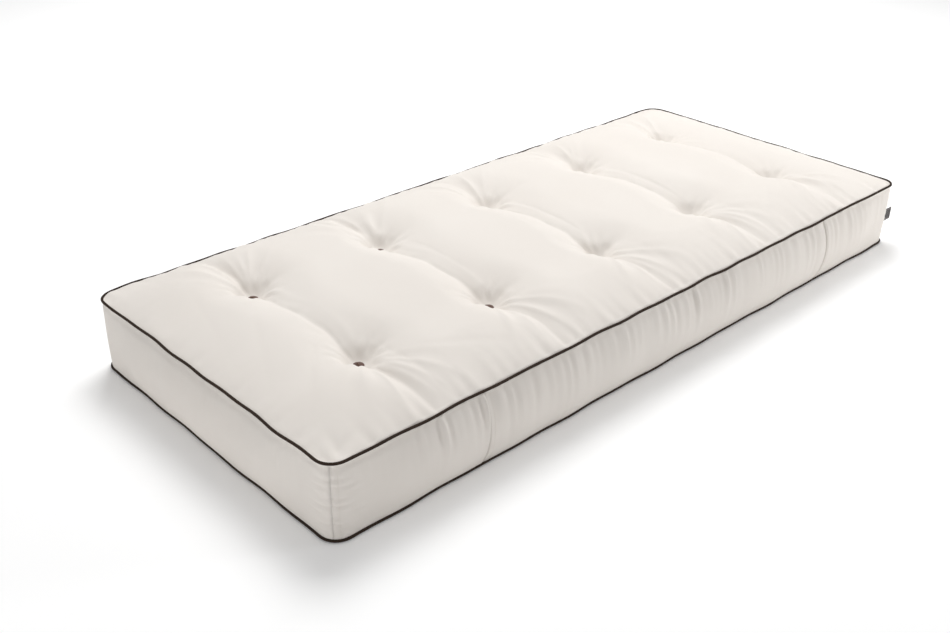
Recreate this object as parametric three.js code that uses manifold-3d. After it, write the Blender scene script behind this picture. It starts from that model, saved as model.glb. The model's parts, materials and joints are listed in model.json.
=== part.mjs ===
// Tufted futon mattress: a piped cotton cover round three rows of latex bars, cotton wadding and a
// wool layer, tied through by ten twine tufts. Millimetres, +Z up. The origin is the centre of the
// underside, +X runs along the length towards the end with the label, and the front faces -Y.

import * as THREE from 'three'
import { mergeVertices } from 'three/addons/utils/BufferGeometryUtils.js'
import Module from 'manifold-3d'

const wasm = await Module()
wasm.setup()

// ---- driving dimensions ----

const coverLength = 2000 // between the centre lines of the piping
const coverWidth = 880
const pipingHeight = 180 // underside to the upper piping's centre line
const pipingDiameter = 8
const cornerRadius = 40 // of the piping, seen from above
const boxingBulge = 28 // of the side band at mid height, beyond the piping
const cornerFullness = 0.08 // share of that bulge left at the corners, where the seams hold the band in
const bulgeRun = 200 // along a side, from a corner's curve to the full bulge
const clothThickness = 1.5
const gap = 0.4 // between pieces that touch
const seamGap = 0.2 // from a boxing strip's end to the seam line

const crownRise = 46 // of the pads above the upper piping
const crownRun = 130 // from the piping to the pads' full height
const creaseAcross = 14 // depth of the valley along each tuft row
const creaseAlong = 7 // depth of the valley along each tuft column
const creaseReach = 62 // half width of a valley
const pullReach = 58 // how far a tuft draws the panel down round its felt

const tuftsAlong = 5
const tuftEndInset = 260 // from the end piping to the first tuft row
const tuftSink = 5.5 // of the panel under a felt, below the upper piping
const feltDiameter = 25
const feltThickness = 5
const feltMargin = 5.5 // flat cloth round a felt
const twineDiameter = 2.5
const twineClearance = 0.5
const dimpleRise = 10 // of the underside's hollow over a lower felt
const dimpleRadius = 50

const barsPerRow = 13
const barRows = ['lower', 'middle', 'upper']
const barsToTuft = 3.5 // bar pitches from the middle to a tuft column: always between two bars
const sideWadding = 80 // from the piping to the bars, at each long side
const endWadding = 60 // and at each end
const baseWadding = 26
const cottonLayer = 20 // between two rows of bars
const pressedWool = 6 // left under a tuft
const fillingGap = 1 // round the filling

const labelHeight = 36
const labelLength = 34
const labelThickness = 1.2
const labelFoot = 61 // from the underside to the label's lower edge
const labelTurn = 45 // degrees from the corner's own direction towards +X, as the label rests

const cornerSteps = 6
const bulgeSteps = 6 // from a corner's curve to the full bulge
const boxingSteps = 8
const pipingSides = 8
const feltSides = 10
const twineSides = 6
const dimpleSides = 10

// ---- sizes that follow ----

const pipingRadius = pipingDiameter / 2
const halfLength = coverLength / 2
const halfWidth = coverWidth / 2
const panelInset = pipingRadius + gap
const boxingFoot = pipingDiameter + gap
const boxingHead = pipingHeight - pipingRadius - gap
const boxingMiddle = (boxingFoot + boxingHead) / 2

const barGap = twineDiameter + 2 * twineClearance
const barPitch = (coverWidth - 2 * sideWadding) / barsPerRow
const coreLength = coverLength - 2 * endWadding
const coreWidth = barsPerRow * barPitch

const tuftPitch = (coverLength - 2 * tuftEndInset) / (tuftsAlong - 1)
const tuftColumn = barsToTuft * barPitch
const tuftRows = Array.from({ length: tuftsAlong }, (_, i) => (i - (tuftsAlong - 1) / 2) * tuftPitch)
const feltFlat = feltDiameter / 2 + feltMargin
const tuftLevel = pipingHeight - tuftSink
const padBase = pipingHeight + clothThickness / 2

const fillingFoot = clothThickness + fillingGap / 2
const coreFoot = fillingFoot + baseWadding
const woolFoot = tuftLevel - clothThickness - fillingGap / 2 - pressedWool
const stackGaps = 2 * barRows.length
const barHeight =
  (woolFoot - coreFoot - (barRows.length - 1) * cottonLayer - stackGaps * gap) / barRows.length
const rowPitch = barHeight + cottonLayer + 2 * gap

// ---- finishes ----

const finish = (color, roughness) => new THREE.MeshStandardMaterial({ color, roughness, metalness: 0 })
const coverCotton = () => finish(0xece4d8, 0.92)
const pipingCotton = () => finish(0x2a211d, 0.8)
const feltBrown = () => finish(0x4a2a20, 0.95)
const labelWeave = () => finish(0x2c2526, 0.75)
const latexFoam = () => finish(0xefe3c4, 0.7)
const cottonWadding = () => finish(0xf2f0ea, 1)
const woolWadding = () => finish(0xe9dcc0, 1)

// ---- solids ----

const mattress = new THREE.Group()

function addMesh(name, geometry, material, parent = mattress) {
  const mesh = new THREE.Mesh(geometry, material)
  mesh.name = name
  parent.add(mesh)
  return mesh
}

function surface(points, triangles) {
  const geometry = new THREE.BufferGeometry()
  geometry.setAttribute('position', new THREE.Float32BufferAttribute(points.flat(), 3))
  geometry.setIndex(triangles.flat())
  geometry.computeVertexNormals()
  return geometry
}

function toSolid(geometry) {
  geometry.deleteAttribute('normal')
  geometry.deleteAttribute('uv')
  const merged = mergeVertices(geometry)
  return new wasm.Manifold(new wasm.Mesh({
    numProp: 3,
    vertProperties: new Float32Array(merged.attributes.position.array),
    triVerts: new Uint32Array(merged.index.array),
  }))
}

function toGeometry(solid) {
  const { vertProperties, triVerts } = solid.getMesh()
  const geometry = new THREE.BufferGeometry()
  geometry.setAttribute('position', new THREE.BufferAttribute(vertProperties, 3))
  geometry.setIndex(new THREE.BufferAttribute(triVerts, 1))
  geometry.computeVertexNormals()
  return geometry
}

// A cylinder or cone standing on z = foot.
function upright(topRadius, footRadius, foot, head, sides, x = 0, y = 0) {
  const geometry = new THREE.CylinderGeometry(topRadius, footRadius, head - foot, sides)
  return geometry.rotateX(Math.PI / 2).translate(x, y, (foot + head) / 2)
}

function block(sizeX, sizeY, foot, head) {
  return new THREE.BoxGeometry(sizeX, sizeY, head - foot).translate(0, 0, (foot + head) / 2)
}

// ---- the outline seen from above ----

const smooth = (share) => share * share * (3 - 2 * share)

// Stations round the cover from one angle to another, in quarter turns from +X, anticlockwise. Each has
// a centre, a direction and the share of the bulge it takes, and a piece stands at
// cornerRadius + offset + its share of the bulge from the centre, along the direction.
function stations(fromQuarter, toQuarter) {
  const list = []
  const first = Math.floor(fromQuarter)
  for (let corner = first; corner <= Math.ceil(toQuarter); corner++) {
    const side = ((corner % 4) + 4) % 4
    const x = (side === 0 || side === 3 ? 1 : -1) * (halfLength - cornerRadius)
    const y = (side < 2 ? 1 : -1) * (halfWidth - cornerRadius)
    const start = Math.max(corner, fromQuarter)
    const end = Math.min(corner + 1, toQuarter)
    const steps = Math.round(cornerSteps * (end - start))
    for (let i = 0; steps > 0 && i <= steps; i++) {
      const angle = ((start + ((end - start) * i) / steps) * Math.PI) / 2
      list.push({ x, y, dx: Math.cos(angle), dy: Math.sin(angle), share: cornerFullness })
    }
    if (steps > 0 && corner + 1 <= toQuarter) list.push(...alongSide(list.at(-1)))
  }
  return list
}

// The stations of the side that starts at a corner's last one, in the order of going round.
function alongSide({ x, y, dx, dy }) {
  const length = 2 * (dx ** 2 > 0.5 ? halfWidth - cornerRadius : halfLength - cornerRadius)
  const steps = Array.from({ length: bulgeSteps }, (_, i) => (i + 1) / bulgeSteps)
  const rising = steps.map((step) => [step * bulgeRun, smooth(step)])
  const falling = rising.map(([run, share]) => [length - run, share]).reverse()
  return [...rising, ...falling].map(([run, share]) => ({
    x: x - run * Math.round(dy),
    y: y + run * Math.round(dx),
    dx,
    dy,
    share: cornerFullness + (1 - cornerFullness) * share,
  }))
}

const onOutline = ({ x, y, dx, dy, share }, [offset, z, bulge = 0]) => {
  const reach = cornerRadius + offset + share * bulge
  return [x + reach * dx, y + reach * dy, z]
}

// A section of [offset, z, bulge] points, anticlockwise with the offset to the right, swept round the cover.
function ring(section) {
  const round = stations(0, 4)
  const n = section.length
  const points = round.flatMap((s) => section.map((at) => onOutline(s, at)))
  const triangles = []
  round.forEach((_, i) => {
    const here = i * n
    const next = ((i + 1) % round.length) * n
    for (let k = 0; k < n; k++) {
      const up = (k + 1) % n
      triangles.push([here + k, next + k, next + up], [here + k, next + up, here + up])
    }
  })
  return surface(points, triangles)
}

// The same along part of the outline, for a section made of an outer line and an equal inner line.
function strip(outer, inner, fromQuarter, toQuarter) {
  const part = stations(fromQuarter, toQuarter)
  const section = [...outer, ...[...inner].reverse()]
  const n = section.length
  const points = part.flatMap((s) => section.map((at) => onOutline(s, at)))
  const triangles = []
  for (let i = 0; i + 1 < part.length; i++) {
    for (let k = 0; k < n; k++) {
      const here = i * n
      const up = (k + 1) % n
      triangles.push([here + k, here + n + k, here + n + up], [here + k, here + n + up, here + up])
    }
  }
  const last = (part.length - 1) * n
  for (let k = 0; k + 1 < outer.length; k++) {
    const [a, b, c, d] = [k, k + 1, n - 2 - k, n - 1 - k]
    triangles.push([a, b, c], [a, c, d])
    triangles.push([last + a, last + c, last + b], [last + a, last + d, last + c])
  }
  return surface(points, triangles)
}

// Level outlines stacked on each other, from [offset, z, bulge] points going up. Its faces are split the
// same way as a strip's inner ones, so that the gap between them stays even.
function stack(profile) {
  const round = stations(0, 4)
  const n = round.length
  const points = profile.flatMap((at) => round.map((s) => onOutline(s, at)))
  const triangles = []
  for (let level = 0; level + 1 < profile.length; level++) {
    for (let i = 0; i < n; i++) {
      const [a, b] = [level * n + i, level * n + ((i + 1) % n)]
      triangles.push([a, b, a + n], [b, b + n, a + n])
    }
  }
  const top = (profile.length - 1) * n
  for (let i = 1; i + 1 < n; i++) {
    triangles.push([0, i + 1, i], [top, top + i, top + i + 1])
  }
  return surface(points, triangles)
}

// ---- the pads' height ----

const hill = (distance, reach) => Math.exp(-((distance / reach) ** 2))
const shoulder = (distance) => 1 - (1 - Math.min(Math.max(distance, 0) / crownRun, 1)) ** 2
const pastFelt = (distance) => Math.max(Math.abs(distance) - feltFlat, 0)
const nearestRow = (x) => Math.min(...tuftRows.map((row) => Math.abs(x - row)))
const tuftPull =
  padBase + crownRise - (creaseAcross + creaseAlong) * hill(feltFlat, creaseReach) - tuftLevel

function padHeight(x, y) {
  const rowDistance = nearestRow(x)
  const columnDistance = Math.abs(Math.abs(y) - tuftColumn)
  const across = creaseAcross * hill(rowDistance, creaseReach)
  const along = creaseAlong * hill(columnDistance, creaseReach)
  const pull = tuftPull * hill(Math.hypot(pastFelt(rowDistance), pastFelt(columnDistance)), pullReach)
  const edge = shoulder(halfLength - panelInset - Math.abs(x)) * shoulder(halfWidth - panelInset - Math.abs(y))
  return padBase + edge * (crownRise - across - along - pull)
}

// Lines from one place to the next, in equal steps.
function spread(places, counts) {
  const list = [places[0]]
  counts.forEach((count, i) => {
    for (let k = 1; k <= count; k++) {
      list.push(places[i] + ((places[i + 1] - places[i]) * k) / count)
    }
  })
  return list
}

const panelRadius = cornerRadius - panelInset
const straightEnd = halfLength - cornerRadius
const cornerLines = Array.from(
  { length: cornerSteps / 2 },
  (_, i) => straightEnd + panelRadius * Math.sin(((i + 1) / (cornerSteps / 2)) * (Math.PI / 2)),
)
const padLines = spread(
  [-straightEnd, ...tuftRows.flatMap((row) => [row - feltFlat, row + feltFlat]), straightEnd],
  [3, ...tuftRows.flatMap((_, i) => (i + 1 < tuftsAlong ? [1, 4] : [1])), 3],
)
const linesAlong = [...cornerLines.map((x) => -x).reverse(), ...padLines, ...cornerLines]
const panelHalfWidth = halfWidth - panelInset
const linesAcross = spread(
  [
    -panelHalfWidth,
    -tuftColumn - feltFlat,
    -tuftColumn + feltFlat,
    tuftColumn - feltFlat,
    tuftColumn + feltFlat,
    panelHalfWidth,
  ],
  [3, 1, 4, 1, 3],
)

function panelHalfWidthAt(x) {
  const past = Math.max(Math.abs(x) - straightEnd, 0)
  return panelHalfWidth - panelRadius + Math.sqrt(Math.max(panelRadius ** 2 - past ** 2, 0))
}

// A padded sheet between two heights over the panel's outline.
function padded(headAt, footAt) {
  const across = linesAcross.length
  const layer = linesAlong.length * across
  const plan = linesAlong.flatMap((x) =>
    linesAcross.map((y) => [x, (y / panelHalfWidth) * panelHalfWidthAt(x)]),
  )
  const points = [headAt, footAt].flatMap((height) => plan.map(([x, y]) => [x, y, height(x, y)]))
  const triangles = []
  const quad = (a, b, c, d) => triangles.push([a, b, c], [a, c, d])
  for (let i = 0; i + 1 < linesAlong.length; i++) {
    for (let j = 0; j + 1 < across; j++) {
      const a = i * across + j
      quad(a, a + across, a + across + 1, a + 1)
      quad(layer + a, layer + a + 1, layer + a + across + 1, layer + a + across)
    }
    const [front, back] = [i * across, (i + 1) * across - 1]
    quad(front, layer + front, layer + front + across, front + across)
    quad(back, back + across, layer + back + across, layer + back)
  }
  for (let j = 0; j + 1 < across; j++) {
    const far = layer - across + j
    quad(j, j + 1, layer + j + 1, layer + j)
    quad(far, layer + far, layer + far + 1, far + 1)
  }
  return surface(points, triangles)
}

// ---- what passes through ----

const tufts = ['front', 'back'].flatMap((column, side) =>
  tuftRows.map((x, i) => ({ name: `tuft_${column}_${i + 1}`, x, y: (side ? 1 : -1) * tuftColumn })),
)

function withTwineHoles(geometry) {
  const radius = (twineDiameter / 2 + twineClearance) / Math.cos(Math.PI / twineSides)
  const ends = [-pipingDiameter, pipingHeight + 2 * crownRise]
  return tufts.reduce(
    (solid, { x, y }) => solid.subtract(toSolid(upright(radius, radius, ...ends, twineSides, x, y))),
    toSolid(geometry),
  )
}

// The hollow over each lower felt, lifted by the thickness of what lies under it.
function dimples(lift) {
  const footRadius = dimpleRadius + (dimpleRadius - feltFlat) / dimpleRise
  return tufts.map(({ x, y }) =>
    toSolid(upright(feltFlat, footRadius, lift - 1, lift + dimpleRise, dimpleSides, x, y)),
  )
}

// ---- cover ----

const bulgeAt = (z) =>
  boxingBulge * (1 - ((z - boxingMiddle) / (boxingHead - boxingMiddle)) ** 2)
const boxingLevels = spread([boxingFoot, boxingHead], [boxingSteps])
const boxingOuter = boxingLevels.map((z) => [0, z, bulgeAt(z)])
const boxingInner = boxingLevels.map((z) => [-clothThickness, z, bulgeAt(z)])

function makeBottomPanel() {
  const sheet = toSolid(stack([[-panelInset, 0], [-panelInset, clothThickness]]))
  const raised = dimples(clothThickness).reduce((solid, dimple) => solid.add(dimple), sheet)
  const hollowed = dimples(0).reduce((solid, dimple) => solid.subtract(dimple), raised)
  return toGeometry(withTwineHoles(toGeometry(hollowed)))
}

function makePiping(centre) {
  const section = Array.from({ length: pipingSides }, (_, i) => {
    const angle = ((i + 0.5) / pipingSides) * 2 * Math.PI
    const radius = pipingRadius / Math.cos(Math.PI / pipingSides)
    return [radius * Math.cos(angle), centre + radius * Math.sin(angle)]
  })
  return ring(section)
}

function addCover() {
  const topPanel = padded(padHeight, (x, y) => padHeight(x, y) - clothThickness)
  addMesh('cover_top_panel', toGeometry(withTwineHoles(topPanel)), coverCotton())
  addMesh('cover_bottom_panel', makeBottomPanel(), coverCotton())
  // The strips meet at the two seams of the front corners, at 2.5 and 3.5 quarter turns.
  const seamTurn = seamGap / (cornerRadius - clothThickness) / (Math.PI / 2)
  const front = strip(boxingOuter, boxingInner, 2.5 + seamTurn, 3.5 - seamTurn)
  const back = strip(boxingOuter, boxingInner, -0.5 + seamTurn, 2.5 - seamTurn)
  addMesh('boxing_front_strip', front, coverCotton())
  addMesh('boxing_back_strip', back, coverCotton())
  addMesh('piping_top', makePiping(pipingHeight), pipingCotton())
  addMesh('piping_bottom', makePiping(pipingRadius), pipingCotton())
}

// ---- tufts ----

function addTufts() {
  const felt = feltDiameter / 2
  const twine = twineDiameter / 2
  const lowerHead = dimpleRise - gap
  const upperFoot = tuftLevel + gap
  const profile = [
    [0, lowerHead - feltThickness],
    [felt, lowerHead - feltThickness],
    [felt, lowerHead],
    [twine, lowerHead],
    [twine, upperFoot],
    [felt, upperFoot],
    [felt, upperFoot + feltThickness],
    [0, upperFoot + feltThickness],
  ].map(([r, z]) => new THREE.Vector2(r, z))
  for (const { name, x, y } of tufts) {
    const geometry = new THREE.LatheGeometry(profile, feltSides).rotateX(Math.PI / 2)
    addMesh(name, geometry, feltBrown()).position.set(x, y, 0)
  }
}

// ---- filling ----

function addFilling() {
  const inside = -clothThickness - fillingGap
  const walls = boxingLevels.slice(1, -1).map((z) => [inside, z, bulgeAt(z)])
  const trayHead = woolFoot - gap
  const profile = [
    [-pipingRadius - fillingGap, fillingFoot],
    [-pipingRadius - fillingGap, boxingFoot + fillingGap],
    ...walls.filter(([, z]) => z < trayHead - fillingGap),
    [inside, trayHead, bulgeAt(trayHead) / 2], // drawn in, as the band turns in under the piping
  ]
  const core = toSolid(block(coreLength, coreWidth, coreFoot, pipingHeight))
  const tray = dimples(fillingFoot).reduce(
    (solid, dimple) => solid.subtract(dimple),
    toSolid(stack(profile)).subtract(core),
  )
  addMesh('cotton_base_and_sides', toGeometry(withTwineHoles(toGeometry(tray))), cottonWadding())

  barRows.forEach((row, level) => {
    const foot = coreFoot + gap + level * rowPitch
    for (let i = 0; i < barsPerRow; i++) {
      const bar = block(coreLength - 2 * fillingGap, barPitch - barGap, foot, foot + barHeight)
      const number = String(i + 1).padStart(2, '0')
      const mesh = addMesh(`latex_bar_${row}_${number}`, bar, latexFoam())
      mesh.position.y = (i - (barsPerRow - 1) / 2) * barPitch
    }
    if (level + 1 < barRows.length) {
      const layerFoot = foot + barHeight + gap
      const sizes = [coreLength - 2 * fillingGap, coreWidth - 2 * fillingGap]
      const layer = withTwineHoles(block(...sizes, layerFoot, layerFoot + cottonLayer))
      addMesh(`cotton_layer_${level ? 'upper' : 'lower'}`, toGeometry(layer), cottonWadding())
    }
  })

  const wool = padded((x, y) => padHeight(x, y) - clothThickness - fillingGap / 2, () => woolFoot)
  addMesh('wool_top_layer', toGeometry(withTwineHoles(wool)), woolWadding())
}

// ---- label, folded and sewn into the front right corner's seam ----

function addLabel() {
  const standOff = cornerFullness * boxingBulge + gap + labelThickness / 2
  const toSeam = (cornerRadius + standOff) * Math.SQRT1_2
  const seamLine = new THREE.Group()
  seamLine.position.set(halfLength - cornerRadius + toSeam, cornerRadius - halfWidth - toSeam, 0)
  seamLine.rotation.z = THREE.MathUtils.degToRad(labelTurn - 45)
  mattress.add(seamLine)
  const label = new THREE.BoxGeometry(labelLength, labelThickness, labelHeight)
  label.translate(labelLength / 2, 0, labelFoot + labelHeight / 2)
  addMesh('label', label, labelWeave(), seamLine)
}

addCover()
addTufts()
addFilling()
addLabel()

export default mattress
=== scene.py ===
# %% [markdown]
# # A tufted futon mattress
# The frame is loaded first. The pieces made here take their places from the frame's own boxes, and all
# but the label ride on its body "mattress".

import json
import math

import bpy
import numpy as np
from mathutils import Matrix, Vector


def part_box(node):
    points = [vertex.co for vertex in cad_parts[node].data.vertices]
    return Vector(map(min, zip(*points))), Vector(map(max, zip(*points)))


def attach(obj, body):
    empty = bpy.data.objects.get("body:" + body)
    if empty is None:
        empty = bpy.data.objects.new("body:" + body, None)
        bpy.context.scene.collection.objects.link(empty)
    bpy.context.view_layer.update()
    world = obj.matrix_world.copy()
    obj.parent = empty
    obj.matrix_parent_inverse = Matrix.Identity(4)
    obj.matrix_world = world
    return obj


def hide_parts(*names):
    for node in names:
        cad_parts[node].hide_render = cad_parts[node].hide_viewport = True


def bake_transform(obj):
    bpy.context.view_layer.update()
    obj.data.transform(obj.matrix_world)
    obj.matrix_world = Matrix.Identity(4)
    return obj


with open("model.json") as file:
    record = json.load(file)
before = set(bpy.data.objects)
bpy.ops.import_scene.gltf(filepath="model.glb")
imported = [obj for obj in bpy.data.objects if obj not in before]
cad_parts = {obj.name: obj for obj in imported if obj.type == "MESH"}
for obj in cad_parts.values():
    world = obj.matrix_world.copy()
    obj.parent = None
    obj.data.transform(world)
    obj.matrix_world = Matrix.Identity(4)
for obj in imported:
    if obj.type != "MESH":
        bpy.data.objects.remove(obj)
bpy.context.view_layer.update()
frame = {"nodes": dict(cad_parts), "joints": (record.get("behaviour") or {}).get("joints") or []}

# %% [markdown]
# ## Sizes
# The upper piping gives the outline, because both panels and the side band are sewn to it. A row of
# tufts is where the frame's tufts are. The other sizes, such as the corner radius, are typed in.

# %% Sizes and tufts
PIPE = 0.004  # radius of the piping in the frame
CORD = 0.0031  # radius of the visible cord, which is thinner
CLOTH = 0.0015  # thickness of the cover
FELT = 0.0125  # radius of a felt
low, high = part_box("piping_top")
HALF_L, HALF_W = high.x - PIPE, high.y - PIPE
HEAD = (low.z + high.z) / 2  # the upper piping's centre line
FOOT = PIPE  # and the lower one's
CORNER = 0.040  # corner radius of the piping
BULGE = -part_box("boxing_front_strip")[0].y - HALF_W  # of the side band, at mid height
CORNER_SHARE = 0.08  # of the bulge, left at a corner
BULGE_RUN = 0.200  # from a corner's curve to the full bulge
STRIP_SEAM = 0.62  # from the middle to the front band's two upright seams

tufts = {n: sum(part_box(n), Vector()) / 2 for n in frame["nodes"] if n.startswith("tuft_")}
ROWS = sorted({round(t.x, 4) for t in tufts.values()})
COLUMN = max(t.y for t in tufts.values())
TUFT_Z = 0.1745  # the panel's height under a felt
BARS = 13  # latex bars in a row
print("half length, half width, bulge:", [round(v, 4) for v in (HALF_L, HALF_W, BULGE)])
print("tuft rows at x =", ROWS, "and y = +-%.4f" % COLUMN)

# %% [markdown]
# ## Camera and light
# A mattress is shown from one corner, a little above. The long lens keeps its edges near parallel. One
# broad lamp hangs overhead. Another stands behind the far corner, so the slopes that face the camera are
# darker than the pads. A small one grazes the long side, so its gathers show, and a low one fills the end.


# %% Camera, lamps and sky
def add_object(name, data):
    made = bpy.data.objects.new(name, data)
    bpy.context.scene.collection.objects.link(made)
    return made


ahead = Vector((0.60126, 0.63315, -0.48745)).normalized()
right = Vector((0.72934, -0.68406, 0.01109)).normalized()
camera = add_object("camera", bpy.data.cameras.new("camera"))
camera.data.lens, camera.data.sensor_width = 42.54, 36
turn = Matrix((right, right.cross(ahead), -ahead)).transposed().to_4x4()
camera.matrix_world = Matrix.Translation((-1.9195, -1.7820, 1.3926)) @ turn
bpy.context.scene.camera = camera


def add_lamp(name, place, aim, size, power):
    lamp = add_object(name, bpy.data.lights.new(name, "AREA"))
    lamp.data.size, lamp.data.energy = size, power
    lamp.location = place
    lamp.rotation_euler = (Vector(aim) - Vector(place)).to_track_quat("-Z", "Y").to_euler()


add_lamp("lamp_overhead", (-0.3, -0.3, 4.5), (0, 0, 0), 6.0, 30)
add_lamp("lamp_behind", (1.7, 2.0, 4.6), (-0.1, -0.1, 0.1), 2.8, 222)
add_lamp("lamp_side", (2.6, -2.4, 0.9), (0.2, -0.44, 0.1), 0.7, 30)
add_lamp("lamp_low", (-3.4, -0.6, 0.55), (-1, 0, 0.1), 1.0, 12)
world = bpy.data.worlds.new("white_sky")
bpy.context.scene.world = world
world.use_nodes = True
world.node_tree.nodes["Background"].inputs["Color"].default_value = (1, 1, 1, 1)
world.node_tree.nodes["Background"].inputs["Strength"].default_value = 0.32
bpy.context.scene.view_settings.view_transform = "Standard"
print("camera, four lamps and a white sky")

# %% [markdown]
# ## Writing materials as sums
# A material is a chain of nodes. Wire wraps one output of a node, so that `1 - mask * 0.3` adds the Math
# nodes for it. Its node() adds any other node.


# %% A wire through a material
class Wire:
    def __init__(self, socket):
        self.socket, self.tree = socket, socket.id_data

    def node(self, kind, settings=None, sockets=None, out=0):
        made = self.tree.nodes.new(kind)
        for name, value in (settings or {}).items():
            if name == "stops":
                for stop, (place, colour) in zip(made.color_ramp.elements, value):
                    stop.position, stop.color = place, colour
            else:
                setattr(made, name, value)
        for name, value in (sockets or {}).items():
            if isinstance(value, Wire):
                self.tree.links.new(value.socket, made.inputs[name])
            else:
                made.inputs[name].default_value = value
        return Wire(made.outputs[out])

    def sum(self, operation, first, second):
        return self.node("ShaderNodeMath", {"operation": operation}, {0: first, 1: second})

    def __add__(self, other): return self.sum("ADD", self, other)
    def __radd__(self, other): return self.sum("ADD", other, self)
    def __sub__(self, other): return self.sum("SUBTRACT", self, other)
    def __rsub__(self, other): return self.sum("SUBTRACT", other, self)
    def __mul__(self, other): return self.sum("MULTIPLY", self, other)
    def __rmul__(self, other): return self.sum("MULTIPLY", other, self)
    def __gt__(self, other): return self.sum("GREATER_THAN", self, other)

    def wave(self, pitch):
        return self.node("ShaderNodeMath", {"operation": "SINE"}, {0: self * (2 * math.pi / pitch)})

    def noise(self, scale, detail=3.0, roughness=0.5):
        sockets = {"Vector": self, "Scale": scale, "Detail": detail, "Roughness": roughness}
        return self.node("ShaderNodeTexNoise", {"noise_dimensions": "3D"}, sockets)

    def between(self, one, other):
        sockets = {0: self, 6: (*one, 1), 7: other if isinstance(other, Wire) else (*other, 1)}
        return self.node("ShaderNodeMix", {"data_type": "RGBA"}, sockets, out=2)


def start_material(name, coordinates, **steady):
    """A new material, its shader, and the coordinates its pattern is laid out on."""
    made = bpy.data.materials.new(name)
    made.use_nodes = True
    shader = made.node_tree.nodes["Principled BSDF"]
    for socket, value in steady.items():
        shader.inputs[socket.replace("_", " ")].default_value = value
    places = made.node_tree.nodes.new("ShaderNodeTexCoord")
    return made, shader, Wire(places.outputs[coordinates])


def connect(shader, **wires):
    for socket, wire in wires.items():
        wire.tree.links.new(wire.socket, shader.inputs[socket.replace("_", " ")])


def bumped(height, distance, strength=1.0):
    return height.node("ShaderNodeBump", None, {"Height": height, "Distance": distance, "Strength": strength})


def along_and_across(place):
    parts = place.node("ShaderNodeSeparateXYZ", None, {0: place}).socket.node
    return Wire(parts.outputs[0]), Wire(parts.outputs[1])


# %% [markdown]
# ## The finishes
# Unbleached cotton is never one colour: the yarn has slubs, and the bolt is a little uneven. Its weave is
# laid out on the cloth's own UV map, which is in metres, so a thread is the same size everywhere.


# %% Woven cloths: cover, piping and label
def woven(name, pale, deep, thread, slub_share, rough, height, **steady):
    made, shader, place = start_material(name, "UV", **steady)
    along, across = along_and_across(place)
    threads = along.wave(thread) * across.wave(thread)
    long_slubs = place.node("ShaderNodeMapping", None, {"Vector": place, "Scale": (40, 900, 1)}).noise(1.0)
    cross_slubs = place.node("ShaderNodeMapping", None, {"Vector": place, "Scale": (900, 40, 1)}).noise(1.0)
    slubs = long_slubs * 0.5 + cross_slubs * 0.5
    cloudy = place.noise(3.2, 4.0)
    tone = cloudy * (1 - slub_share) + slubs * slub_share
    connect(shader, Base_Color=tone.between(deep, pale), Roughness=rough + 0.12 * cloudy)
    connect(shader, Normal=bumped(threads * 0.5 + slubs * 1.2, height))
    return made


cover_cloth = woven("natural_cotton", (0.905, 0.862, 0.810), (0.825, 0.766, 0.708), thread=0.0011,
                    slub_share=0.35, rough=0.80, height=0.00022,
                    Sheen_Weight=0.15, Sheen_Roughness=0.5, Specular_IOR_Level=0.2)
piping_cloth = woven("brown_piping_cloth", (0.056, 0.036, 0.026), (0.026, 0.016, 0.011), thread=0.0009,
                     slub_share=0.4, rough=0.80, height=0.00025,
                     Sheen_Weight=0.03, Sheen_Roughness=0.4, Specular_IOR_Level=0.15)
print("cover cloth and piping cloth")


# %% The label's satin weave, with a plain woven border
def make_label_cloth():
    made, shader, place = start_material("label_satin", "UV", Specular_IOR_Level=0.45)
    along, across = along_and_across(place)
    ribs = across.wave(0.0007) * 0.5 + 0.5
    from_edge = (across - 0.018) * (across - 0.018)
    border = (from_edge > 0.0142**2) * (1 - (from_edge > 0.0152**2))
    threads = ribs * (0.7 + 0.3 * along.wave(0.0004))
    ground = threads.between((0.030, 0.024, 0.026), (0.060, 0.048, 0.050))
    connect(shader, Base_Color=border.node("ShaderNodeMix", {"data_type": "RGBA"},
            {0: border, 6: ground, 7: (0.33, 0.30, 0.27, 1)}, out=2))
    connect(shader, Roughness=0.62 - 0.18 * ribs, Normal=bumped(threads, 0.00015))
    return made


label_cloth = make_label_cloth()
print("label cloth")


# %% Felt, twine and the fillings, which have no weave and read the object's own coordinates
def loose_fibre(name, pale, deep, scale, height, rough, **steady):
    made, shader, place = start_material(name, "Object", **steady)
    tufted = place.noise(scale, 6.0, 0.65)
    fine = place.noise(scale * 6, 3.0, 0.6)
    fibres = tufted * 0.7 + fine * 0.3
    connect(shader, Base_Color=fibres.between(deep, pale), Roughness=rough + 0.1 * fine)
    connect(shader, Normal=bumped(fibres, height))
    return made


felt = loose_fibre("brown_felt", (0.150, 0.068, 0.045), (0.058, 0.024, 0.017), 700, 0.0006, 0.86,
                   Sheen_Weight=0.3)
twine = loose_fibre("waxed_twine", (0.20, 0.115, 0.075), (0.09, 0.045, 0.03), 1500, 0.0003, 0.55)
cotton = loose_fibre("cotton_wadding", (0.93, 0.92, 0.89), (0.80, 0.78, 0.74), 45, 0.004, 0.9,
                     Sheen_Weight=0.2)
wool = loose_fibre("wool_wadding", (0.86, 0.78, 0.63), (0.66, 0.57, 0.43), 60, 0.004, 0.88, Sheen_Weight=0.3)
latex = loose_fibre("latex_foam", (0.88, 0.80, 0.62), (0.80, 0.71, 0.53), 320, 0.0005, 0.6,
                    Specular_IOR_Level=0.35)
thread = loose_fibre("sewing_thread", (0.86, 0.81, 0.75), (0.74, 0.68, 0.62), 2500, 0.0001, 0.6)
print("felt, twine, cotton, wool, latex and thread")

# %% [markdown]
# ## The cover's grid
# The cover is laid out as one net: lines along and across for the top panel, and rings of the same
# columns down the side band. A net keeps its order, so a seam, a gather or a piece's edge can be named
# by its line. Lines are closer where a tuft row makes sharp creases.


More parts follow.
